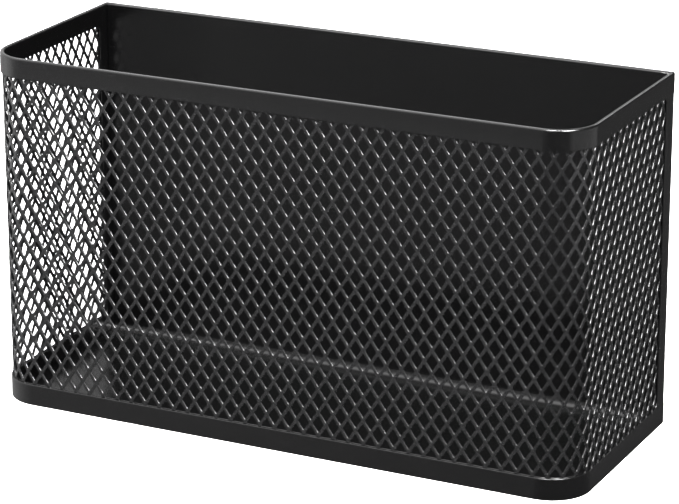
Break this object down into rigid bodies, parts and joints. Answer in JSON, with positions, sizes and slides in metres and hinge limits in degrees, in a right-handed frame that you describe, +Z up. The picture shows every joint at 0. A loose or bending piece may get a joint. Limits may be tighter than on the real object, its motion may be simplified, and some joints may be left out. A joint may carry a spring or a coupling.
{
  "type": "desk organizer",
  "caption": "Open rectangular desk bin with a diamond mesh front and sides, a solid back and floor, and flat bands round the rim and base.",
  "frame": {"origin": "middle of the rectangle that the bin stands on, at the level of its underside", "axes": "+Z up, +X along the width to the right seen from the front, +Y from the mesh front to the solid back"},
  "size_m": [0.2, 0.0752, 0.1146],
  "materials": {
    "panel_coat": "satin black powder coat on sheet steel",
    "mesh_coat": "satin black powder coat on flattened expanded steel mesh",
    "channel_coat": "satin black powder coat on folded steel channel"
  },
  "bodies": {
    "root": {"back_floor_sheet": "panel_coat", "mesh_wall": "mesh_coat", "top_channel": "channel_coat", "base_channel": "channel_coat", "left_upright": "channel_coat", "right_upright": "channel_coat"}
  },
  "joints": []
}
